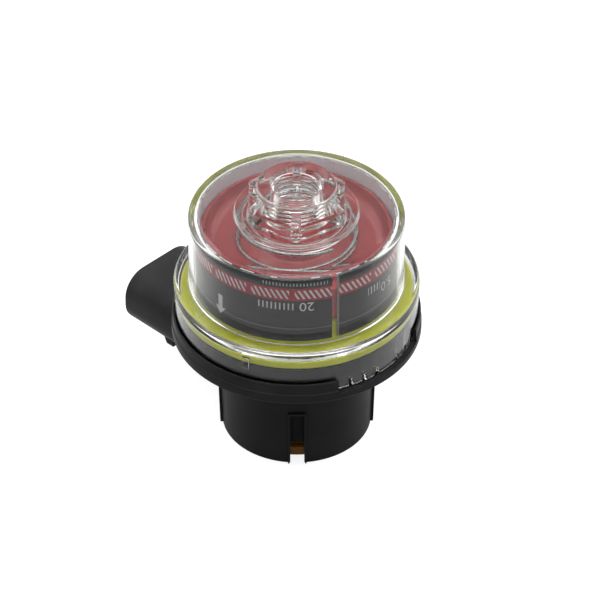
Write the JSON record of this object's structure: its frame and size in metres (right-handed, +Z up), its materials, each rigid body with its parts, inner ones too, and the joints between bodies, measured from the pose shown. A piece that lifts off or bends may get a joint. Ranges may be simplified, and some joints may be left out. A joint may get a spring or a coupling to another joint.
{
  "type": "air filter restriction indicator",
  "caption": "Vacuum gauge for an engine air filter: clear housing with threaded hexagonal boss, red cup rising behind a printed sleeve, black base with side plug connector and reset button.",
  "frame": {"origin": "on the ground under the middle of the part's box, standing on the rim of its slotted skirt", "axes": "+Z up along the body axis out of the threaded boss, connector mouth towards -X"},
  "size_m": [0.0626, 0.0484, 0.0569],
  "materials": {
    "black_plastic": "black moulded glass-filled nylon, satin",
    "clear_plastic": "water-clear moulded plastic, polished",
    "label_film": "printed film",
    "yellow_silicone": "soft yellow-green silicone",
    "red_plastic": "bright red moulded plastic",
    "natural_plastic": "uncoloured moulded acetal",
    "amber_plastic": "amber moulded plastic",
    "spring_steel": "bright drawn wire and strip",
    "brass": "turned brass",
    "bronze_strip": "rolled bronze strip",
    "tinned_blade": "tinned brass",
    "filter_foam": "open-cell foam"
  },
  "bodies": {
    "body": {"clear_housing": "clear_plastic", "data_label": "label_film", "base_body": "black_plastic", "latch_clip": "spring_steel", "latch_cover": "natural_plastic", "switch_carrier": "natural_plastic", "terminal_left": "tinned_blade", "terminal_right": "tinned_blade", "contact_leaf_left": "bronze_strip", "contact_leaf_right": "bronze_strip", "rivet_left": "brass", "rivet_right": "brass", "vent_filter": "filter_foam", "rolling_diaphragm": "yellow_silicone", "calibration_spring": "spring_steel", "button_spring": "spring_steel"},
    "indicator": {"indicator_cup": "red_plastic", "retainer_plate": "natural_plastic", "ratchet_stem": "natural_plastic", "push_nut": "spring_steel", "contact_ring": "brass"},
    "button": {"reset_button": "amber_plastic"}
  },
  "joints": [
    {"name": "indicator_slide", "type": "slide", "parent": "body", "child": "indicator", "axis": [0, 0, 1], "range_m": [0, 0.0032], "stiffness_N_per_m": 210, "springref_m": -0.017, "deforming": ["rolling_diaphragm", "calibration_spring"]},
    {"name": "button_slide", "type": "slide", "parent": "body", "child": "button", "axis": [0, 0, 1], "range_m": [0, 0.001], "stiffness_N_per_m": 300, "springref_m": -0.003, "deforming": ["button_spring"]}
  ]
}
